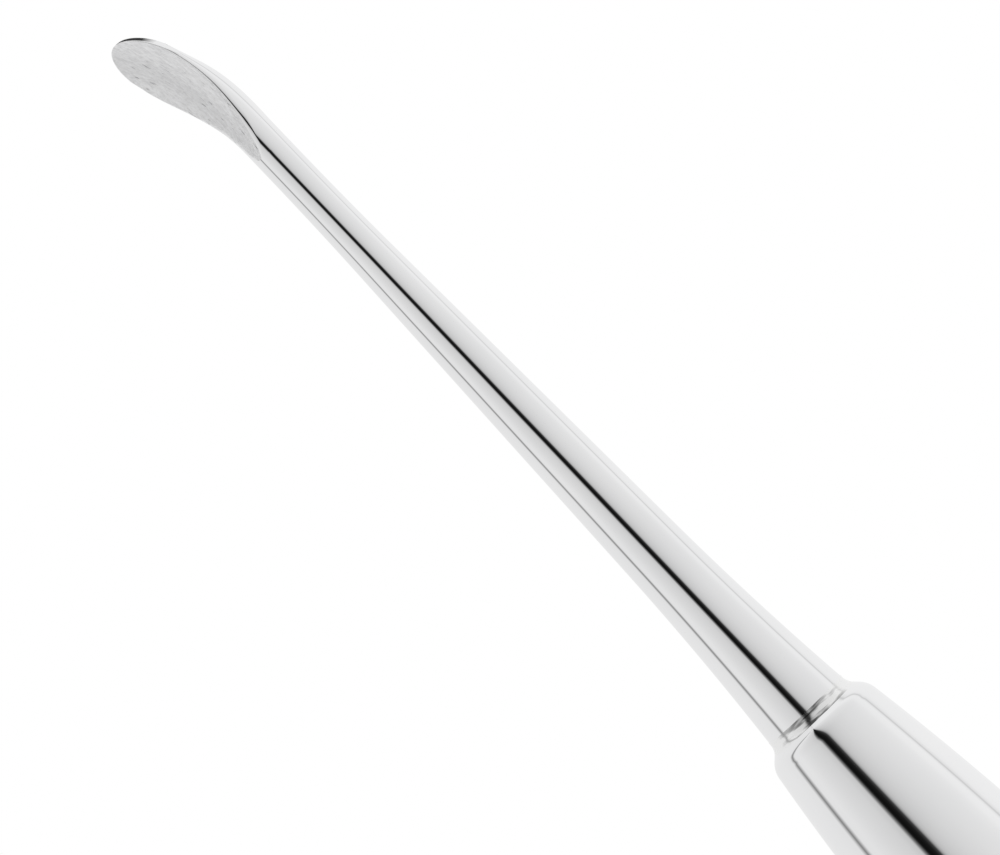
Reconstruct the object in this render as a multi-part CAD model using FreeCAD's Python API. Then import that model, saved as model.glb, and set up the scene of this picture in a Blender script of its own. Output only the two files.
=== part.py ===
import FreeCAD, Part
import math
import os

from FreeCAD import Vector

# Millimetres and degrees. The instrument lies along X, with the tip of its blade towards +X
# and the hollow face of the blade up. The origin is on the surface it lies on, at the middle
# of the handle's lowest flat, under the handle's thickest section.

# Handle shell: a round pear shape with long shallow flats
belly_radius = 6.45  # at the thickest section, x = 0
flat_depth = 0.45  # below the belly
flat_count = 8
nose_reach = 29.83  # thickest section to the front edge rounding
nose_step = 0.765  # front edge rounding above the end of the shoulder
nose_rounding = 1.7
shoulder_angle = 46.0  # between the shoulder and the axis
tail_reach = 56.0  # thickest section to the butt seam
tail_radius = 4.7  # at the butt seam
shell_wall = 1.0

# Bush inside the nose
nose_lip = 0.48  # of the shell's front edge, round the bush's spigot
spigot_length = 5.0
flange_step = 0.9  # flange above spigot
flange_length = 10.0
bush_wall = 1.0  # of the spigot, round the tang
braze_gap = 0.03  # radial, wherever filler metal flows

# Butt cap
cap_length = 6.0
cap_spigot_length = 5.0
cap_spigot_wall = 1.5
cap_relief_depth = 4.0

# Crease between shank and handle, filled with braze metal
crease_length = 0.85
crease_radius = 1.0
crease_step = 0.33  # end of the shoulder above the shank's end
crease_seat_gap = 0.1  # between the forging's seat in the crease and the shell's bore

# Forging: tang, shank and neck
tang_flat_depth = 0.4  # two flats stop the tang turning in the bush
tang_length = 14.5
tang_chamfer = 0.4
shank_length = 60.75  # tip of the blade to the crease
flare_length = 14.1
flare_radius = 212.0
taper_angle = 1.75
neck_radius = 1.32
neck_blend_radius = 300.0
neck_straight = 2.0  # level neck behind the blade's widening

# Blade
blade_width = 4.5
widest_point = 3.3  # from the tip
widening_start = 10.4
back_bend_start = 9.48
back_bend_radius = 8.9
back_bend_angle = 35.5
lip_height = 0.13  # widest line of the blade above the floor of its hollow
grind_radius = 15.0  # of the wheel that ground the hollow face
grind_crown = 6.5  # of the wheel's rim, across the blade
grind_floor = 1.03  # lowest point of the hollow above the shank's axis
grind_centre = 8.6  # from the tip
blade_sections = 12

# Worked out from the sizes above
shoulder_turn = math.radians(shoulder_angle)
taper = math.radians(taper_angle)
flat_distance = belly_radius - flat_depth  # from the handle's axis to each flat
neck_end = widening_start + neck_straight
cone_start_radius = neck_radius + neck_blend_radius * (1 - math.cos(taper))
cone_length = shank_length - neck_end - neck_blend_radius * math.sin(taper) - flare_length
flare_base = cone_start_radius + cone_length * math.tan(taper)
flare_slope = math.asin(math.sin(taper) + flare_length / flare_radius)
shank_end_radius = flare_base + flare_radius * (math.cos(taper) - math.cos(flare_slope))
nose_face_radius = shank_end_radius + crease_step  # where the shoulder ends at the crease
nose_radius = nose_face_radius + nose_step
spigot_radius = nose_face_radius - nose_lip
crease_seat_radius = spigot_radius - crease_seat_gap
flange_radius = spigot_radius + flange_step
tang_radius = spigot_radius - bush_wall
tang_flat_distance = tang_radius - tang_flat_depth


def crown_radius(reach, end_radius):
    """Radius of the arc that falls from the belly to end_radius over reach."""
    drop = belly_radius - end_radius
    return (reach**2 + drop**2) / (2 * drop)


front_arc = crown_radius(nose_reach, nose_radius)
tail_arc = crown_radius(tail_reach, tail_radius)
nose_slope = math.asin(nose_reach / front_arc)
rounding_start = Vector(nose_reach, 0, nose_radius)
rounding_end = rounding_start + Vector(
    nose_rounding * (math.sin(shoulder_turn) - math.sin(nose_slope)),
    0,
    nose_rounding * (math.cos(shoulder_turn) - math.cos(nose_slope)),
)
nose_face = rounding_end.x + (rounding_end.z - nose_face_radius) / math.tan(shoulder_turn)
bush_step = nose_face - spigot_length
shank_end = nose_face + crease_length
tip = shank_end + shank_length


def on_axis(x):
    return Vector(x, 0, 0)


def off_axis(x, radius):
    return Vector(x, 0, radius)


def arc_height(x, arc_radius):
    """Radius of the handle at x, on the arc of arc_radius that crests at x = 0."""
    return belly_radius - arc_radius + math.sqrt(arc_radius**2 - x**2)


def crown_edge(x, arc_radius, inset=0.0):
    """The handle's outline from the belly to x, or a line inset inside it."""

    def point(angle):
        radius = arc_radius - inset
        centre = belly_radius - arc_radius
        return off_axis(radius * math.sin(angle), centre + radius * math.cos(angle))

    end = math.asin(x / arc_radius)
    return Part.Arc(point(0), point(end / 2), point(end)).toShape()


def turned(edges):
    """A solid turned about the instrument's axis from edges that start and end on it."""
    wire = Part.Wire(Part.__sortEdges__(edges))
    return Part.Face(wire).revolve(Vector(0, 0, 0), Vector(1, 0, 0), 360)


def chain(*points):
    return [Part.makeLine(a, b) for a, b in zip(points, points[1:])]


def rod(radius, start, end):
    return Part.makeCylinder(radius, end - start, on_axis(start), Vector(1, 0, 0))


# Handle shell


def shell_outside():
    rounding_centre = rounding_start - Vector(
        nose_rounding * math.sin(nose_slope), 0, nose_rounding * math.cos(nose_slope)
    )
    mid_turn = (shoulder_turn + nose_slope) / 2
    rounding_middle = rounding_centre + Vector(
        nose_rounding * math.sin(mid_turn), 0, nose_rounding * math.cos(mid_turn)
    )
    return turned(
        [
            crown_edge(-tail_reach, tail_arc),
            crown_edge(nose_reach, front_arc),
            Part.Arc(rounding_start, rounding_middle, rounding_end).toShape(),
            *chain(
                rounding_end,
                off_axis(nose_face, nose_face_radius),
                on_axis(nose_face),
                on_axis(-tail_reach),
                off_axis(-tail_reach, tail_radius),
            ),
        ]
    )


def cavity_end(x, arc_radius):
    """End point of the cavity's outline, one wall inside the handle's outline at x."""
    angle = math.asin(x / arc_radius)
    return off_axis(x, arc_height(x, arc_radius)) - shell_wall * Vector(
        math.sin(angle), 0, math.cos(angle)
    )


def shell_cavity():
    front = cavity_end(bush_step - flange_length, front_arc)
    rear = cavity_end(-tail_reach, tail_arc)
    hollow = turned(
        [
            crown_edge(-tail_reach, tail_arc, shell_wall),
            crown_edge(bush_step - flange_length, front_arc, shell_wall),
            *chain(front, on_axis(front.x), on_axis(rear.x), rear),
        ]
    )
    spigot_bore = rod(spigot_radius, bush_step, nose_face)
    flange_bore = rod(flange_radius, front.x, bush_step)
    cap_bore = rod(rear.z, -tail_reach, rear.x)
    return hollow.fuse([spigot_bore, flange_bore, cap_bore])


def flat_cutter(index):
    depth = belly_radius
    slab = Part.makeBox(
        nose_reach + tail_reach,
        2 * belly_radius,
        depth,
        Vector(-tail_reach, -belly_radius, flat_distance),
    )
    slab.rotate(Vector(0, 0, 0), Vector(1, 0, 0), 360 / flat_count * index)
    return slab


def make_handle_shell():
    shell = shell_outside().cut(shell_cavity())
    return shell.cut([flat_cutter(i) for i in range(flat_count)])


# Nose bush


def tang_section(radius, flat, start, end):
    """A rod between two flats, as the tang is, and as the hole for it is."""
    between = Part.makeBox(end - start, 2 * radius, 2 * flat, Vector(start, -radius, -flat))
    return rod(radius, start, end).common(between)


def make_nose_bush():
    spigot = rod(spigot_radius - braze_gap, bush_step, nose_face)
    flange = rod(flange_radius - braze_gap, bush_step - flange_length, bush_step)
    hole = tang_section(
        tang_radius + braze_gap,
        tang_flat_distance + braze_gap,
        bush_step - flange_length,
        nose_face,
    )
    return spigot.fuse(flange).cut(hole).removeSplitter()


# Butt cap


def make_end_cap():
    dome = turned(
        [
            butt_curve(),
            *chain(
                off_axis(-tail_reach, tail_radius),
                on_axis(-tail_reach),
                on_axis(-tail_reach - cap_length),
            ),
        ]
    )
    bore = cavity_end(-tail_reach, tail_arc)
    spigot_end = -tail_reach + cap_spigot_length
    spigot = rod(bore.z, -tail_reach, spigot_end)
    relief = rod(bore.z - cap_spigot_wall, spigot_end - cap_relief_depth, spigot_end)
    return dome.fuse(spigot).cut(relief).removeSplitter()


def butt_curve():
    """Quarter of an ellipse, from the butt seam round to the axis."""
    quarter = Part.makeCircle(1, Vector(0, 0, 0), Vector(0, 1, 0), 180, 270)
    stretch = FreeCAD.Matrix()
    stretch.scale(Vector(cap_length, 1, tail_radius))
    return quarter.transformGeometry(stretch).translate(on_axis(-tail_reach))


# Braze fillet in the crease


def make_braze_fillet():
    rear = off_axis(nose_face, nose_face_radius)
    centre = rear + crease_radius * Vector(math.sin(shoulder_turn), 0, math.cos(shoulder_turn))

    def on_curve(x):
        return off_axis(x, centre.z - math.sqrt(crease_radius**2 - (x - centre.x) ** 2))

    front = on_curve(shank_end)
    ring = turned(
        [
            Part.Arc(rear, on_curve((nose_face + shank_end) / 2), front).toShape(),
            *chain(front, on_axis(shank_end), on_axis(nose_face), rear),
        ]
    )
    return ring.cut(rod(crease_seat_radius, nose_face, shank_end))


# Forging


def make_shank():
    blend_end = off_axis(tip - neck_end - neck_blend_radius * math.sin(taper), cone_start_radius)

    def on_blend(angle):
        return Vector(
            tip - neck_end - neck_blend_radius * math.sin(angle),
            0,
            neck_radius + neck_blend_radius * (1 - math.cos(angle)),
        )

    flare_start = shank_end + flare_length

    def on_flare(x):
        end_slope = math.asin(math.sin(taper) + (flare_start - x) / flare_radius)
        rise = flare_radius * (math.cos(taper) - math.cos(end_slope))
        return off_axis(x, flare_base + rise)

    start = off_axis(flare_start, flare_base)
    middle = on_flare((flare_start + shank_end) / 2)
    end = on_flare(shank_end)
    return turned(
        [
            Part.Arc(on_blend(0), on_blend(taper / 2), on_blend(taper)).toShape(),
            Part.Arc(start, middle, end).toShape(),
            *chain(blend_end, start),
            *chain(end, on_axis(shank_end), on_axis(tip - neck_end), on_blend(0)),
        ]
    )


def make_tang():
    seat = rod(crease_seat_radius, nose_face, shank_end)
    end = nose_face - tang_length
    tang = tang_section(tang_radius, tang_flat_distance, end, nose_face)
    point = Part.makeCone(
        tang_radius - tang_chamfer,
        tang_radius - tang_chamfer + tang_length,
        tang_length,
        on_axis(end),
        Vector(1, 0, 0),
    )
    return seat.fuse(tang.common(point))


def widening(from_tip):
    """From 0 at the neck to 1 at the blade's widest point, with a smooth start and end."""
    share = (widening_start - from_tip) / (widening_start - widest_point)
    share = min(1.0, max(0.0, share))
    return (1 - math.cos(math.pi * share)) / 2


def back_height(from_tip):
    """Height of the lowest line of the blade's back: level, then a bend, then straight."""
    bend = math.radians(back_bend_angle)
    run = back_bend_start - from_tip
    if run <= 0:
        return -neck_radius
    if run < back_bend_radius * math.sin(bend):
        return -neck_radius + back_bend_radius - math.sqrt(back_bend_radius**2 - run**2)
    rise = back_bend_radius * (1 - math.cos(bend))
    straight = run - back_bend_radius * math.sin(bend)
    return -neck_radius + rise + straight * math.tan(bend)


def floor_height(from_tip):
    """Height of the lowest line of the hollow face."""
    run = from_tip - grind_centre
    return grind_floor + grind_radius - math.sqrt(grind_radius**2 - run**2)


def blade_section(from_tip):
    """The forged blade's section before grinding, an ellipse across the X axis."""
    wide = widening(from_tip)
    half_width = neck_radius + (blade_width / 2 - neck_radius) * wide
    middle = wide * (floor_height(from_tip) + lip_height)
    half_height = middle - back_height(from_tip)
    circle = Part.makeCircle(1, Vector(0, 0, 0), Vector(1, 0, 0))
    stretch = FreeCAD.Matrix()
    stretch.scale(Vector(1, half_width, half_height))
    edge = circle.transformGeometry(stretch)
    edge.translate(Vector(tip - from_tip, 0, middle))
    return Part.Wire(edge.Edges)


def make_blade_blank():
    overrun = 0.3
    step = (neck_end + overrun) / (blade_sections - 1)
    sections = [blade_section(neck_end - step * i) for i in range(blade_sections)]
    return Part.makeLoft(sections, True, False)


def round_tip_trim():
    """All that stands outside the elliptical outline of the blade's tip."""
    margin = 1.0
    tall = 2 * grind_radius
    block = Part.makeBox(
        widest_point + margin,
        2 * blade_width,
        tall,
        Vector(tip - widest_point, -blade_width, -tall / 2),
    )
    circle = Part.makeCircle(1)
    stretch = FreeCAD.Matrix()
    stretch.scale(Vector(widest_point, blade_width / 2, 1))
    outline = circle.transformGeometry(stretch)
    outline.translate(Vector(tip - widest_point, 0, -tall / 2))
    return block.cut(Part.Face(Part.Wire(outline.Edges)).extrude(Vector(0, 0, tall)))


def grinding_wheel():
    axis_height = grind_floor + grind_radius
    side = 0.7 * blade_width
    rim = grind_floor + grind_crown - math.sqrt(grind_crown**2 - side**2)
    x = tip - grind_centre
    left, right = Vector(x, -side, rim), Vector(x, side, rim)
    edges = [
        Part.Arc(left, Vector(x, 0, grind_floor), right).toShape(),
        *chain(right, Vector(x, side, axis_height), Vector(x, -side, axis_height), left),
    ]
    profile = Part.Face(Part.Wire(edges))
    return profile.revolve(Vector(x, 0, axis_height), Vector(0, 1, 0), 360)


def make_blade_shank():
    blank = make_blade_blank().cut(round_tip_trim())
    blade = blank.cut(grinding_wheel())
    forging = make_shank().fuse([make_tang(), blade])
    return forging.removeSplitter()


def save(name, shape):
    """Writes one node, lifted so that its lowest flat lies at z = 0."""
    solids = shape.Solids
    assert len(solids) == 1 and shape.isValid(), name
    placed = solids[0].copy()
    placed.translate(Vector(0, 0, flat_distance))
    placed.exportStep("parts/" + name + ".step")
    box = placed.optimalBoundingBox()
    print(name, round(placed.Volume, 1), [round(v, 2) for v in (box.XMin, box.XMax, box.ZMin, box.ZMax)])


os.makedirs("parts", exist_ok=True)
save("blade_shank", make_blade_shank())
save("braze_fillet", make_braze_fillet())
save("handle_shell", make_handle_shell())
save("nose_bush", make_nose_bush())
save("end_cap", make_end_cap())
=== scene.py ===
import math

import bmesh
import bpy
from mathutils import Matrix, Vector


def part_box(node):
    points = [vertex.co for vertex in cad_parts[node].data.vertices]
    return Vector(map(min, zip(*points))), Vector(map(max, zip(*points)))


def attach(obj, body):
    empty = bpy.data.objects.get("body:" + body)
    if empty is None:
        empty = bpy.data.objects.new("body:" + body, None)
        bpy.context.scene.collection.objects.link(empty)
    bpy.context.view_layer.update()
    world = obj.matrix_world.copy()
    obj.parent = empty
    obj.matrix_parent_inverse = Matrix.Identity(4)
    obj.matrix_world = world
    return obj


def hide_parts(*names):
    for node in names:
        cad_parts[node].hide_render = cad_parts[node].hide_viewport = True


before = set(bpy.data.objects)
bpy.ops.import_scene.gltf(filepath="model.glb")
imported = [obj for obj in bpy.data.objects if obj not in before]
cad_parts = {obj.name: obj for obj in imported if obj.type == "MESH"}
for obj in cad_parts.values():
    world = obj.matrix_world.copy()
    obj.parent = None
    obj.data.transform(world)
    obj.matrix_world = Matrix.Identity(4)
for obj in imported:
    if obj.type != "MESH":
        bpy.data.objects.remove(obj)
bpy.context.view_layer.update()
mm = 0.001


def boxOf(node):
    # corners of a CAD node in millimetres
    low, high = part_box(node)
    return low / mm, high / mm


shellLow, shellHigh = boxOf("handle_shell")
bladeLow, bladeHigh = boxOf("blade_shank")
filletLow, filletHigh = boxOf("braze_fillet")
capLow, capHigh = boxOf("end_cap")
bushLow = boxOf("nose_bush")[0]

axisHeight = (shellLow.z + shellHigh.z) / 2
flatDistance = (shellHigh.z - shellLow.z) / 2
noseFace = filletLow.x
shankEnd = filletHigh.x
noseFaceRadius = filletHigh.z - axisHeight
tip = bladeHigh.x
buttSeam = shellLow.x
print("frame loaded, tip at", round(tip, 2), "mm")


# Mesh helpers. Pieces are built in millimetres about the instrument's axis,
# then shrunk to metres and lifted to the height the frame gives.


def finishPiece(bm, name, materials, node, sharpAngle=40):
    bmesh.ops.remove_doubles(bm, verts=bm.verts, dist=0.0004)
    bmesh.ops.dissolve_degenerate(bm, edges=bm.edges, dist=0.0002)
    bmesh.ops.recalc_face_normals(bm, faces=bm.faces)
    for face in bm.faces:
        face.smooth = True
    for edge in bm.edges:
        edge.smooth = len(edge.link_faces) == 2 and edge.calc_face_angle(0) < math.radians(sharpAngle)
    bmesh.ops.translate(bm, verts=bm.verts, vec=(0, 0, axisHeight))
    bmesh.ops.scale(bm, verts=bm.verts, vec=(mm, mm, mm))
    mesh = bpy.data.meshes.new(name)
    bm.to_mesh(mesh)
    bm.free()
    for material in materials:
        mesh.materials.append(material)
    piece = bpy.data.objects.new(name, mesh)
    bpy.context.scene.collection.objects.link(piece)
    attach(piece, "root")
    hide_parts(node)
    print(name, "has", len(mesh.polygons), "faces")
    return piece


def spinProfile(points, steps, closed):
    # turns a run of (x, radius) points about the instrument's axis
    bm = bmesh.new()
    verts = [bm.verts.new((x, 0, radius)) for x, radius in points]
    edges = [bm.edges.new(pair) for pair in zip(verts, verts[1:])]
    if closed:
        edges.append(bm.edges.new((verts[-1], verts[0])))
    bmesh.ops.spin(
        bm, geom=verts + edges, cent=(0, 0, 0), axis=(1, 0, 0), angle=math.tau, steps=steps, use_merge=True
    )
    return bm


def spread(start, end, count):
    # count + 1 values from start to end
    return [start + (end - start) * i / count for i in range(count + 1)]


def arcAround(centre, radius, fromAngle, toAngle, count):
    # points of an arc; angles are measured from straight out, towards +X
    return [
        (centre[0] + radius * math.sin(a), centre[1] + radius * math.cos(a))
        for a in spread(fromAngle, toAngle, count)
    ]


# Materials


def newMaterial(name):
    material = bpy.data.materials.new(name)
    material.use_nodes = True
    return material, material.node_tree.nodes["Principled BSDF"]


def addNode(tree, kind, settings=None, **inputs):
    # inputs may be values or other nodes' sockets; their names use _ for a space,
    # or are in0, in1 and so on where a node's sockets share a name
    node = tree.nodes.new(kind)
    for key, value in (settings or {}).items():
        setattr(node, key, value)
    for key, value in inputs.items():
        numbered = key.startswith("in") and key[2:].isdigit()
        socket = node.inputs[int(key[2:]) if numbered else key.replace("_", " ")]
        if isinstance(value, bpy.types.NodeSocket):
            tree.links.new(value, socket)
        else:
            socket.default_value = value
    return node


def objectPoint(tree, scale):
    # object coordinates in millimetres, stretched by scale
    coordinates = addNode(tree, "ShaderNodeTexCoord")
    size = [s / mm for s in scale]
    return addNode(tree, "ShaderNodeMapping", Vector=coordinates.outputs["Object"], Scale=size).outputs[0]


def noise(tree, scale, detail=2.0, roughness=0.5):
    point = objectPoint(tree, scale)
    node = addNode(tree, "ShaderNodeTexNoise", Vector=point, Scale=1.0, Detail=detail, Roughness=roughness)
    return node.outputs["Fac"]


def remap(tree, value, fromLow, fromHigh, toLow, toHigh):
    return addNode(
        tree,
        "ShaderNodeMapRange",
        Value=value,
        From_Min=fromLow,
        From_Max=fromHigh,
        To_Min=toLow,
        To_Max=toHigh,
    ).outputs[0]


def combine(tree, operation, a, b):
    return addNode(tree, "ShaderNodeMath", {"operation": operation}, in0=a, in1=b).outputs[0]


def dotWith(tree, vector, direction):
    node = addNode(tree, "ShaderNodeVectorMath", {"operation": "DOT_PRODUCT"}, in0=vector, in1=direction)
    return node.outputs["Value"]


def blendColours(tree, share, low, high):
    # low and high may be colours or other nodes' sockets
    node = addNode(tree, "ShaderNodeMix", {"data_type": "RGBA"})
    tree.links.new(share, node.inputs["Factor"])
    for socket, value in zip([s for s in node.inputs if s.type == "RGBA"], (low, high)):
        if isinstance(value, bpy.types.NodeSocket):
            tree.links.new(value, socket)
        else:
            socket.default_value = (*value, 1)
    return [s for s in node.outputs if s.type == "RGBA"][0]


def polishedSteel(name, look):
    material, shader = newMaterial(name)
    tree = material.node_tree
    shader.inputs["Metallic"].default_value = 1
    cloud = noise(tree, look["cloud"], detail=3)
    hairlines = noise(tree, look["hairline"], detail=4, roughness=0.7)
    tint = remap(tree, cloud, *look["tintRange"], 0, 1)
    tree.links.new(blendColours(tree, tint, look["shade"], look["colour"]), shader.inputs["Base Color"])
    haze = remap(tree, cloud, *look["hazeRange"], *look["roughness"])
    lines = remap(tree, hairlines, *look["lineRange"], 0, look["lineRoughness"])
    tree.links.new(combine(tree, "ADD", haze, lines), shader.inputs["Roughness"])
    height = look["lineHeight"] * mm
    bump = addNode(tree, "ShaderNodeBump", Height=hairlines, Strength=look["lineDepth"], Distance=height)
    tree.links.new(bump.outputs[0], shader.inputs["Normal"])
    return material


# A look's ranges are noise values: what each one drives changes between them, and not outside.
# Heights are in millimetres.
steelLook = {
    "colour": (0.93, 0.93, 0.935),
    "shade": (0.91, 0.912, 0.918),
    "tintRange": (0.35, 0.65),
    "roughness": (0.026, 0.039),
    "hazeRange": (0.35, 0.7),
    "cloud": (0.12, 0.12, 0.12),  # patches a millimetre
    "hairline": (0.15, 22, 22),  # lines along the shank, in lines a millimetre
    "lineRange": (0.55, 0.8),
    "lineRoughness": 0.02,
    "lineDepth": 0.2,
    "lineHeight": 0.001,
}
shankSteel = polishedSteel("shank polish", steelLook)
handleSteel = polishedSteel("handle polish", {**steelLook, "hairline": (14, 0.3, 0.3)})
capSteel = polishedSteel("cap polish", {**steelLook, "hairline": (14, 0.3, 0.3)})

groundLook = {
    "colour": (0.9, 0.9, 0.905),
    "shade": (0.69, 0.69, 0.695),
    "gougeColour": (0.42, 0.42, 0.43),
    "roughness": (0.42, 0.3),
    "roughnessRange": (0.3, 0.7),
    "scratch": (1.5, 5.5, 0.8),  # grinding marks, in marks a millimetre
    "fine": (4.5, 15, 1.5),
    "fineShare": 0.45,  # of the fine marks in what shows, the rest being scratches
    "markRange": (0.34, 0.6),
    "depth": 0.5,
    "height": 0.03,
    "gouge": (1.1, 8, 0.6),
    "gougeRange": (0.64, 0.71),
    "gougeDepth": 0.6,
    "gougeHeight": 0.02,
}


def groundSteel(name, look):
    # satin left by a grinding wheel: scratches along the blade, and a few deeper gouges
    material, shader = newMaterial(name)
    tree = material.node_tree
    shader.inputs["Metallic"].default_value = 1
    scratches = noise(tree, look["scratch"], detail=4, roughness=0.7)
    fine = noise(tree, look["fine"], detail=3, roughness=0.6)
    gouges = remap(tree, noise(tree, look["gouge"], detail=3, roughness=0.6), *look["gougeRange"], 0, 1)
    coarse = combine(tree, "MULTIPLY", scratches, 1 - look["fineShare"])
    marks = combine(tree, "ADD", coarse, combine(tree, "MULTIPLY", fine, look["fineShare"]))
    satin = blendColours(tree, remap(tree, marks, *look["markRange"], 0, 1), look["shade"], look["colour"])
    tree.links.new(blendColours(tree, gouges, satin, look["gougeColour"]), shader.inputs["Base Color"])
    roughness = remap(tree, scratches, *look["roughnessRange"], *look["roughness"])
    tree.links.new(roughness, shader.inputs["Roughness"])
    shallow = addNode(
        tree, "ShaderNodeBump", Height=marks, Strength=look["depth"], Distance=look["height"] * mm
    )
    deep = addNode(
        tree,
        "ShaderNodeBump",
        {"invert": True},
        Height=gouges,
        Strength=look["gougeDepth"],
        Distance=look["gougeHeight"] * mm,
        Normal=shallow.outputs[0],
    )
    tree.links.new(deep.outputs[0], shader.inputs["Normal"])
    return material


faceSteel = groundSteel("ground hollow face", groundLook)

brazeLook = {
    "colour": (0.92, 0.92, 0.917),
    # shade: the dark colour of the painted reflection on the braze
    "shade": (0.12, 0.12, 0.12),
    "roughness": (0.2, 0.1),
    "roughnessRange": (0.3, 0.7),
    "streak": (3.2, 0.5, 0.5),  # streaks round the crease, in streaks a millimetre
    "streakDepth": 0.1,
    "streakHeight": 0.02,
    "paintedReflectionRange": (0.4, 0.55),
    "paintedReflectionSide": (-1, 1),  # painted dark reflection on one side only, the one towards -Y and up, which faces the camera
    "paintedReflectionReach": (1.9, 3.2),  # how far from the axis, in that direction, the painted dark reflection starts and is full
}


# braze metal with streaks, and a painted dark reflection on the side facing the camera
def brazedMetal(name, look):
    material, shader = newMaterial(name)
    tree = material.node_tree
    shader.inputs["Metallic"].default_value = 1
    grain = noise(tree, look["streak"])
    side = Vector((0, *look["paintedReflectionSide"])).normalized()
    axisShare = axisHeight * side.z
    reach = dotWith(tree, objectPoint(tree, (1, 1, 1)), side)
    start, full = look["paintedReflectionReach"]
    # painted dark reflection: a patch on the ring's side facing the camera, broken up by the streaks
    paintedReflectionPatch = remap(tree, reach, axisShare + start, axisShare + full, 0, 1)
    paintedReflection = combine(tree, "MULTIPLY", paintedReflectionPatch, remap(tree, grain, *look["paintedReflectionRange"], 1, 0))
    tree.links.new(blendColours(tree, paintedReflection, look["colour"], look["shade"]), shader.inputs["Base Color"])
    roughness = remap(tree, grain, *look["roughnessRange"], *look["roughness"])
    tree.links.new(roughness, shader.inputs["Roughness"])
    height = look["streakHeight"] * mm
    bump = addNode(tree, "ShaderNodeBump", Height=grain, Strength=look["streakDepth"], Distance=height)
    tree.links.new(bump.outputs[0], shader.inputs["Normal"])
    return material


fillerMetal = brazedMetal("braze", brazeLook)
turnedLook = {**groundLook, "scratch": (20, 0.4, 0.4), "fine": (40, 0.6, 0.6), "gouge": (8, 0.5, 0.5)}
bushSteel = groundSteel("turned bush", turnedLook)
print("materials made")


# Handle shell

handle = {
    "bellyRadius": 6.45,
    "noseReach": 29.83,
    "noseRadius": 4.223,
    "noseRounding": 1.7,
    "shoulderAngle": 46.0,
    "wall": 1.0,
    "spigotRadius": 2.978,
    "spigotLength": 5.0,
    "flangeRadius": 3.878,
    "flatCount": 8,
    "edgeSoftness": 0.12,  # how far the polish has rounded the edges of the flats
    "steps": 256,
    "crownSteps": 60,
    "noseSteps": 10,
    "shoulderSteps": 8,
    "frontCavitySteps": 16,
    "tailCavitySteps": 24,
}


def crownRadius(reach, endRadius):
    drop = handle["bellyRadius"] - endRadius
    return (reach**2 + drop**2) / (2 * drop)


capRadius = (capHigh.z - capLow.z) / 2
frontArc = crownRadius(handle["noseReach"], handle["noseRadius"])
tailArc = crownRadius(-buttSeam, capRadius)


def crown(arcRadius, endX, inset, count):
    # the handle's outline from the belly to endX, inset by a wall
    centre = (0, handle["bellyRadius"] - arcRadius)
    return arcAround(centre, arcRadius - inset, 0, math.asin(endX / arcRadius), count)


def handleProfile():
    shoulder = math.radians(handle["shoulderAngle"])
    slope = math.asin(handle["noseReach"] / frontArc)
    rounding = handle["noseRounding"]
    roundingCentre = (
        handle["noseReach"] - rounding * math.sin(slope),
        handle["noseRadius"] - rounding * math.cos(slope),
    )
    tailCrown = crown(tailArc, buttSeam, 0, handle["crownSteps"])[:0:-1]
    outside = tailCrown + crown(frontArc, handle["noseReach"], 0, handle["crownSteps"])
    nose = arcAround(roundingCentre, rounding, slope, shoulder, handle["noseSteps"])[1:]
    start, end = Vector(nose[-1]), Vector((noseFace, noseFaceRadius))
    shoulderRun = [tuple(start.lerp(end, share)) for share in spread(0, 1, handle["shoulderSteps"])[1:]]
    bushStep = noseFace - handle["spigotLength"]
    bores = [
        (noseFace, handle["spigotRadius"]),
        (bushStep, handle["spigotRadius"]),
        (bushStep, handle["flangeRadius"]),
        (bushLow.x, handle["flangeRadius"]),
    ]
    frontCavity = crown(frontArc, bushLow.x, handle["wall"], handle["frontCavitySteps"])[::-1]
    tailCavity = crown(tailArc, buttSeam, handle["wall"], handle["tailCavitySteps"])[1:]
    return outside + nose + shoulderRun + bores + frontCavity + tailCavity + [(buttSeam, tailCavity[-1][1])]


def pressFlats(bm, cavityLimit):
    # lowers the outside to the flats, with the softened edge of a buffed facet
    turn = math.tau / handle["flatCount"]
    soft = handle["edgeSoftness"]
    for vert in bm.verts:
        radius = math.hypot(vert.co.y, vert.co.z)
        if radius < cavityLimit:
            continue
        angle = math.atan2(vert.co.y, vert.co.z)
        offset = angle - turn * round(angle / turn)
        flat = flatDistance / math.cos(offset)
        near = max(soft - abs(radius - flat), 0) / soft
        target = min(radius, flat) - near**2 * soft / 4
        vert.co.y *= target / radius
        vert.co.z *= target / radius


shellMesh = spinProfile(handleProfile(), handle["steps"], True)
pressFlats(shellMesh, (handle["bellyRadius"] - handle["wall"] + flatDistance) / 2)
finishPiece(shellMesh, "handleShell", [handleSteel], "handle_shell")


# Butt cap

cap = {"reliefRadius": 2.2, "reliefDepth": 4.0, "steps": 192, "domeSteps": 32}


def capProfile():
    length = buttSeam - capLow.x
    turns = spread(0, math.pi / 2, cap["domeSteps"])
    dome = [(buttSeam - length * math.cos(a), capRadius * math.sin(a)) for a in turns]
    spigot = crown(tailArc, buttSeam, handle["wall"], 1)[-1][1]
    reliefEnd = capHigh.x - cap["reliefDepth"]
    inside = [
        (buttSeam, spigot),
        (capHigh.x, spigot),
        (capHigh.x, cap["reliefRadius"]),
        (reliefEnd, cap["reliefRadius"]),
        (reliefEnd, 0),
    ]
    return dome + inside


capMesh = spinProfile(capProfile(), cap["steps"], False)
finishPiece(capMesh, "endCap", [capSteel], "end_cap")


# Braze fillet

fillet = {"curveRadius": 1.0, "seatRadius": 2.878, "steps": 192, "curveSteps": 10}


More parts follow.
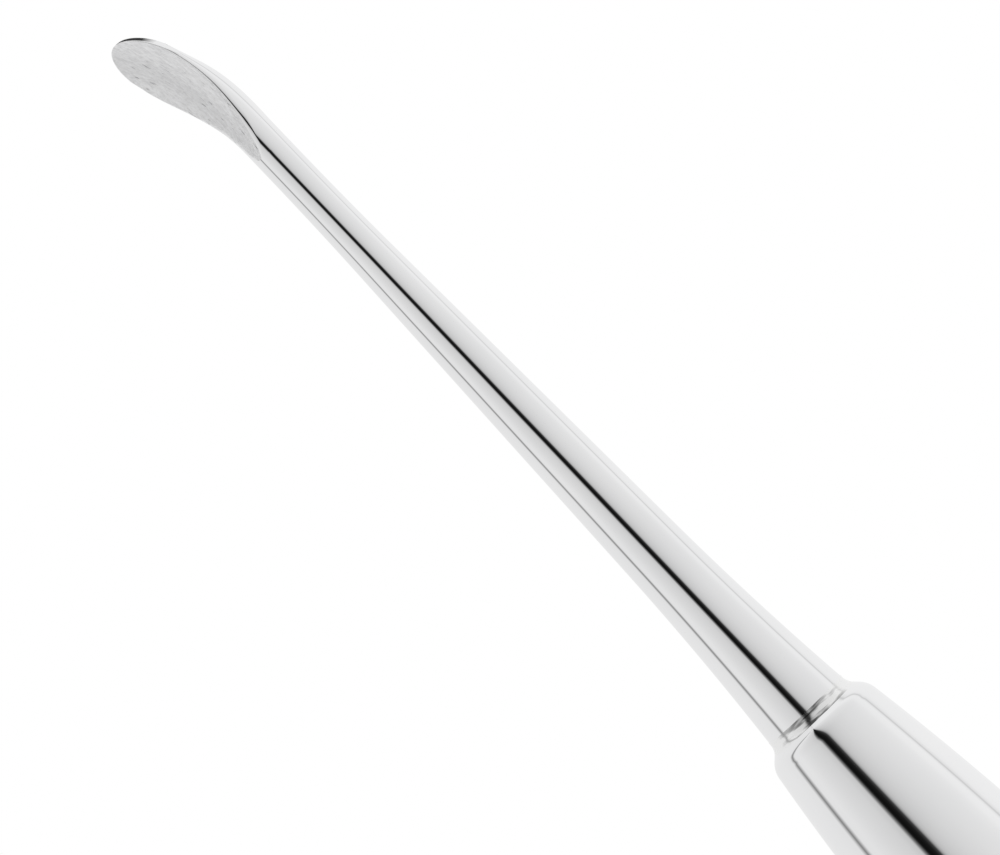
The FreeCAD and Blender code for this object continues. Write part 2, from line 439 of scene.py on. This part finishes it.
def filletProfile():
    shoulder = math.radians(handle["shoulderAngle"])
    radius = fillet["curveRadius"]
    centre = (noseFace + radius * math.sin(shoulder), noseFaceRadius + radius * math.cos(shoulder))
    endAngle = math.pi + math.asin((centre[0] - shankEnd) / radius)
    curve = arcAround(centre, radius, math.pi + shoulder, endAngle, fillet["curveSteps"])
    return curve + [(shankEnd, fillet["seatRadius"]), (noseFace, fillet["seatRadius"])]


filletMesh = spinProfile(filletProfile(), fillet["steps"], True)
finishPiece(filletMesh, "brazeFillet", [fillerMetal], "braze_fillet")


# Forging: tang, shank and blade in one piece

shank = {
    "neckRadius": 1.32,
    "neckEnd": 12.4,  # from the tip
    "neckBlend": 300.0,
    "taper": 1.75,
    "flareLength": 14.1,
    "flareRadius": 212.0,
    "tangRadius": 1.978,
    "tangFlat": 1.578,
    "tangChamfer": 0.4,
}
blade = {
    "halfWidth": 2.25,
    "widestPoint": 3.3,  # from the tip
    "wideningStart": 10.4,
    "bendStart": 9.48,
    "bendRadius": 8.9,
    "bendAngle": 35.5,
    "lip": 0.13,
    "grindRadius": 15.0,
    "grindCrown": 6.5,
    "grindFloor": 1.03,
    "grindCentre": 8.6,
    "edgeRounding": (0.07, 0.044),  # at the tip, and its growth along the blade
    "roundingLimits": (0.45, 0.6),  # the most it takes of the half face, and of the side's upper part
    "polishedCorner": 0.45,  # how far into the rounding the polish runs before the satin starts
}
sideSteps = 22  # columns of each quarter of a section
cornerSteps = 8
faceSteps = 36
rowCounts = {"tip": 56, "face": 130, "neck": 2, "shank": 84}
heelCrowding = 1.6  # above 1, the face's rows crowd towards its heel
halvings = 40


def shankRadius(x):
    taper = math.radians(shank["taper"])
    fromTip = tip - x
    blendLength = shank["neckBlend"] * math.sin(taper)
    run = fromTip - shank["neckEnd"]
    if run < blendLength:
        blend = shank["neckBlend"]
        return shank["neckRadius"] + blend - math.sqrt(blend**2 - run**2)
    flareStart = shankEnd + shank["flareLength"]
    coneRun = min(run, tip - flareStart - shank["neckEnd"]) - blendLength
    radius = shank["neckRadius"] + shank["neckBlend"] * (1 - math.cos(taper)) + coneRun * math.tan(taper)
    if x < flareStart:
        slope = math.asin(math.sin(taper) + (flareStart - x) / shank["flareRadius"])
        radius += shank["flareRadius"] * (math.cos(taper) - math.cos(slope))
    return radius


def widening(s):
    share = (blade["wideningStart"] - s) / (blade["wideningStart"] - blade["widestPoint"])
    return (1 - math.cos(math.pi * min(1, max(0, share)))) / 2


def backHeight(s):
    bend = math.radians(blade["bendAngle"])
    run = blade["bendStart"] - s
    start = -shank["neckRadius"]
    if run <= 0:
        return start
    if run < blade["bendRadius"] * math.sin(bend):
        return start + blade["bendRadius"] - math.sqrt(blade["bendRadius"] ** 2 - run**2)
    straight = run - blade["bendRadius"] * math.sin(bend)
    return start + blade["bendRadius"] * (1 - math.cos(bend)) + straight * math.tan(bend)


def faceHeight(s, y):
    # the grinding wheel's surface, crowned across its rim
    crownDrop = blade["grindCrown"] - math.sqrt(blade["grindCrown"] ** 2 - y**2)
    wheel = blade["grindRadius"] - crownDrop
    return blade["grindFloor"] + blade["grindRadius"] - math.sqrt(wheel**2 - (s - blade["grindCentre"]) ** 2)


def bladeSection(s):
    # the forged section at s from the tip: centre height, half height, half width, tip outline
    wide = widening(s)
    centre = wide * (faceHeight(s, 0) + blade["lip"])
    halfHeight = centre - backHeight(s)
    halfWidth = shank["neckRadius"] + (blade["halfWidth"] - shank["neckRadius"]) * wide
    short = max(0, (blade["widestPoint"] - s) / blade["widestPoint"])
    trim = blade["halfWidth"] * math.sqrt(max(0, 1 - short**2)) if short > 0 else halfWidth
    return centre, halfHeight, halfWidth, min(trim, halfWidth)


def edgeOfFace(s, section):
    # angle up the section's side, from its bottom, at which the hollow face starts
    centre, halfHeight, halfWidth, trim = section
    if s > shank["neckEnd"] or centre + halfHeight <= faceHeight(s, 0):
        return math.pi
    low, high = math.pi / 2, math.pi
    for _ in range(halvings):
        middle = (low + high) / 2
        height = centre - halfHeight * math.cos(middle)
        if height > faceHeight(s, halfWidth * math.sin(middle)):
            high = middle
        else:
            low = middle
    if halfWidth * math.sin(low) > trim:
        return math.acos((centre - faceHeight(s, trim)) / halfHeight)
    return low


def sectionLine(s, section):
    # half of the section, from the bottom up the side and over the edge to the middle of the face
    centre, halfHeight, halfWidth, trim = section

    def side(angle):
        return Vector((min(halfWidth * math.sin(angle), trim), centre - halfHeight * math.cos(angle)))

    edgeAngle = edgeOfFace(s, section)
    wideAngle = math.asin(min(1, trim / halfWidth))
    corner = side(edgeAngle)
    hasFace = edgeAngle < math.pi - 1e-6
    wall = (corner - side(wideAngle)).length
    rounding, growth = blade["edgeRounding"]
    faceShare, wallShare = blade["roundingLimits"]
    room = min(rounding + growth * s, faceShare * corner.x, wallShare * wall) if hasFace else 0
    nudge = 0.01
    speed = (corner - side(edgeAngle - nudge)).length / nudge
    sideEnd = edgeAngle - room / max(speed, 1e-6)
    faceEnd = corner.x - room
    points = [side(a) for a in spread(0, wideAngle, sideSteps)]
    points += [side(a) for a in spread(wideAngle, sideEnd, sideSteps)][1:]
    below = points[-1]
    above = Vector((faceEnd, faceHeight(s, faceEnd))) if hasFace else corner
    for t in spread(0, 1, cornerSteps)[1:]:
        points.append((1 - t) ** 2 * below + 2 * t * (1 - t) * corner + t**2 * above)
    for y in spread(faceEnd, 0, faceSteps // 2)[1:]:
        points.append(Vector((y, faceHeight(s, y))) if hasFace else corner)
    return points


def roundSection(radius):
    # a round section, in the form that bladeSection gives
    return 0, radius, radius, radius


def forgingRows():
    # (x, distance from the tip, section, flat) from the tip back to the tang's end
    tipTurns = spread(0, math.pi / 2, rowCounts["tip"])
    tipRows = [blade["widestPoint"] * (1 - math.cos(a)) for a in tipTurns]
    wheel = blade["grindRadius"]
    heelRise = shank["neckRadius"] - blade["grindFloor"]
    heel = blade["grindCentre"] + math.sqrt(wheel**2 - (wheel - heelRise) ** 2)
    length = heel - blade["widestPoint"]
    faceRows = [heel - length * u**heelCrowding for u in spread(1, 0, rowCounts["face"])][1:]
    neckRows = spread(heel, shank["neckEnd"], rowCounts["neck"])[1:]
    rows = [(tip - s, s, bladeSection(s), None) for s in tipRows + faceRows + neckRows]
    shankPlaces = spread(tip - shank["neckEnd"], shankEnd, rowCounts["shank"])[1:]
    shankRows = [(x, roundSection(shankRadius(x)), None) for x in shankPlaces]
    seat = roundSection(fillet["seatRadius"])
    tang = roundSection(shank["tangRadius"])
    tangTip = roundSection(shank["tangRadius"] - shank["tangChamfer"])
    middle = roundSection(0.001)
    flat = shank["tangFlat"]
    shankRows += [(shankEnd, seat, None), (noseFace, seat, None), (noseFace, tang, flat)]
    shankRows += [(bladeLow.x + shank["tangChamfer"], tang, flat)]
    shankRows += [(bladeLow.x, tangTip, flat), (bladeLow.x, middle, flat)]
    return rows + [(x, tip - x, section, flat) for x, section, flat in shankRows]


def buildForging():
    rows = forgingRows()
    lines = []
    for x, s, section, flat in rows:
        half = sectionLine(s, section)
        if flat:
            half = [Vector((p.x, max(-flat, min(flat, p.y)))) for p in half]
        around = [Vector((x, -p.x, p.y)) for p in half] + [Vector((x, p.x, p.y)) for p in half[-2::-1]]
        lines.append(around)
    columns = len(lines[0]) - 1
    bm = bmesh.new()
    bmesh.ops.create_grid(bm, x_segments=len(rows) - 1, y_segments=columns, size=0.5)
    faceStart = (2 * sideSteps + cornerSteps * blade["polishedCorner"]) / columns
    for face in bm.faces:
        across = face.calc_center_median().y + 0.5
        face.material_index = 1 if faceStart < across < 1 - faceStart else 0
    for vert in bm.verts:
        row = round((vert.co.x + 0.5) * (len(rows) - 1))
        column = round((vert.co.y + 0.5) * columns)
        vert.co = lines[row][column]
    return bm


steels = [shankSteel, faceSteel]
finishPiece(buildForging(), "bladeShank", steels, "blade_shank", sharpAngle=50)

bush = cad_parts["nose_bush"]
bush.data.materials.clear()
bush.data.materials.append(bushSteel)
print("pieces built")


# Camera: square to the instrument's side, halfway between level and straight down

cameraSetup = {
    "target": Vector((58.3, 1.16, 7.16)),
    "elevation": 45.0,
    "roll": (0.6906, 0.7232),  # of the instrument's axis in the frame, right and down
    "width": 63.7,
    "lens": 300.0,
    "sensor": 36.0,
}
elevation = math.radians(cameraSetup["elevation"])
toCamera = Vector((0, -math.cos(elevation), math.sin(elevation)))
across = Vector((0, math.sin(elevation), math.cos(elevation)))
along = Vector((-1, 0, 0))
rightShare, downShare = cameraSetup["roll"]
imageRight = rightShare * along - downShare * across
imageUp = -downShare * along - rightShare * across

cameraData = bpy.data.cameras.new("camera")
cameraData.lens = cameraSetup["lens"]
cameraData.sensor_width = cameraSetup["sensor"]
cameraData.clip_start = 0.01
cameraData.clip_end = 20
camera = bpy.data.objects.new("camera", cameraData)
bpy.context.scene.collection.objects.link(camera)
distance = cameraSetup["width"] * cameraSetup["lens"] / cameraSetup["sensor"]
turn = Matrix((imageRight, imageUp, toCamera)).transposed().to_4x4()
camera.matrix_world = Matrix.Translation((cameraSetup["target"] + toCamera * distance) * mm) @ turn
bpy.context.scene.camera = camera


# Light: a long white tent along the instrument, with a dark gap for the lens and two seams.
# Angles are measured round the instrument from the camera's side, towards its top.

tent = {
    "reflectance": 0.93,  # of the steel, which the tones below allow for
    # how the seams draw together ahead of the tip, by how far forward a ray points
    "seamSpread": [(0, 1), (0.25, 1), (0.5, 0.91), (0.7, 0.83), (0.85, 0.83), (1, 0.95)],
    "slotDrift": 0.13,  # how far the tent leans towards the top ahead of the tip
    "driftPower": 3.0,
    # greys from 0 to 255, each at its angle
    "bottomCloth": [(-180, 236), (-120, 236), (-109, 234)],
    "bottomSeam": [(-103.5, 224), (-101, 198), (-98.5, 227)],
    "nearCloth": [(-95, 236), (-86, 234), (-79, 229), (-68, 225), (-47, 220), (-28, 213), (-18, 207)],
    "lensGap": [(-9, 199), (-4, 188), (-1, 160), (1.5, 60), (5, 27), (10, 15), (13.5, 22), (16.5, 120)],
    "upperCloth": [(19, 198), (28, 209), (47, 217), (68, 227)],
    "topSeam": [(78, 226), (82, 168), (84.5, 126), (87.5, 185)],
    "farCloth": [(91, 225), (114, 228), (180, 230)],
}
tentParts = ("bottomCloth", "bottomSeam", "nearCloth", "lensGap", "upperCloth", "topSeam", "farCloth")


def toLinear(tone):
    # a display grey as an amount of light
    value = tone / 255
    return ((value + 0.055) / 1.055) ** 2.4


def makeTent():
    world = bpy.data.worlds.new("light tent")
    bpy.context.scene.world = world
    world.use_nodes = True
    tree = world.node_tree
    tree.nodes.clear()
    ray = addNode(tree, "ShaderNodeTexCoord").outputs["Generated"]
    facing = dotWith(tree, ray, toCamera)
    forward = addNode(tree, "ShaderNodeClamp", Value=dotWith(tree, ray, -along)).outputs[0]
    farness = combine(tree, "POWER", forward, tent["driftPower"])
    drift = combine(tree, "MULTIPLY", farness, tent["slotDrift"])
    upright = combine(tree, "SUBTRACT", dotWith(tree, ray, across), drift)
    angle = combine(tree, "ARCTAN2", upright, facing)
    pinch = addNode(tree, "ShaderNodeFloatCurve", Value=forward)
    curve = pinch.mapping.curves[0]
    for position, value in tent["seamSpread"]:
        point = curve.points.new(position, value)
        point.handle_type = "AUTO_CLAMPED"
    curve.points.remove(curve.points[0])
    curve.points.remove(curve.points[-1])
    pinch.mapping.update()
    angle = combine(tree, "MULTIPLY", angle, pinch.outputs[0])
    share = remap(tree, angle, -math.pi, math.pi, 0, 1)
    ramp = addNode(tree, "ShaderNodeValToRGB", Fac=share)
    stops = ramp.color_ramp.elements
    while len(stops) > 1:
        stops.remove(stops[-1])
    tones = [stop for part in tentParts for stop in tent[part]]
    for index, (degrees, tone) in enumerate(tones):
        stop = stops[0] if index == 0 else stops.new(degrees / 360 + 0.5)
        stop.position = degrees / 360 + 0.5
        value = toLinear(tone) / tent["reflectance"]
        stop.color = (value, value, value, 1)
    lit = addNode(tree, "ShaderNodeBackground", Color=ramp.outputs["Color"], Strength=1.0)
    plain = addNode(tree, "ShaderNodeBackground", Color=(1, 1, 1, 1), Strength=1.0)
    path = addNode(tree, "ShaderNodeLightPath")
    seen = path.outputs["Is Camera Ray"]
    mix = addNode(tree, "ShaderNodeMixShader", in0=seen, in1=lit.outputs[0], in2=plain.outputs[0])
    addNode(tree, "ShaderNodeOutputWorld", Surface=mix.outputs[0])


makeTent()


floorSetup = {"halfWidth": 4, "drop": 0.02}  # in metres, and in millimetres below the flat


def makeFloor():
    bm = bmesh.new()
    bmesh.ops.create_grid(bm, x_segments=1, y_segments=1, size=floorSetup["halfWidth"])
    mesh = bpy.data.meshes.new("floor")
    bm.to_mesh(mesh)
    bm.free()
    material, shader = newMaterial("white floor")
    shader.inputs["Base Color"].default_value = (0, 0, 0, 1)
    shader.inputs["Specular IOR Level"].default_value = 0
    shader.inputs["Emission Color"].default_value = (1, 1, 1, 1)
    shader.inputs["Emission Strength"].default_value = 1
    mesh.materials.append(material)
    floor = bpy.data.objects.new("floor", mesh)
    bpy.context.scene.collection.objects.link(floor)
    floor.location.z = -floorSetup["drop"] * mm
    floor.visible_glossy = False
    floor.visible_diffuse = False
    floor.visible_transmission = False
    floor.visible_shadow = False


# A graded card low in front of the tip, seen only in reflections: its dark side draws the blade's edge
flag = {
    "ahead": (0.1, 26.0),
    "side": (-7.5, 24.0),
    "height": 0.3,
    "fade": (-7.3, -3.9),  # across these it goes from light to dark
    "tones": (0.8, 0.045),
}


def makeFlag():
    bm = bmesh.new()
    bmesh.ops.create_grid(bm, x_segments=1, y_segments=1, size=0.5)
    near, far = flag["ahead"]
    left, right = flag["side"]
    bmesh.ops.scale(bm, verts=bm.verts, vec=(far - near, right - left, 1))
    bmesh.ops.translate(bm, verts=bm.verts, vec=(tip + (near + far) / 2, (left + right) / 2, flag["height"]))
    bmesh.ops.scale(bm, verts=bm.verts, vec=(mm, mm, mm))
    mesh = bpy.data.meshes.new("flag")
    bm.to_mesh(mesh)
    bm.free()
    material, shader = newMaterial("graded card")
    tree = material.node_tree
    sideways = dotWith(tree, objectPoint(tree, (1, 1, 1)), Vector((0, 1, 0)))
    shader.inputs["Base Color"].default_value = (0, 0, 0, 1)
    shader.inputs["Specular IOR Level"].default_value = 0
    shader.inputs["Emission Strength"].default_value = 1
    tree.links.new(remap(tree, sideways, *flag["fade"], *flag["tones"]), shader.inputs["Emission Color"])
    mesh.materials.append(material)
    card = bpy.data.objects.new("flag", mesh)
    bpy.context.scene.collection.objects.link(card)
    card.visible_camera = False
    card.visible_diffuse = False
    card.visible_shadow = False


makeFloor()
makeFlag()
bpy.context.scene.view_settings.view_transform = "Standard"
print("camera, light and floor set")
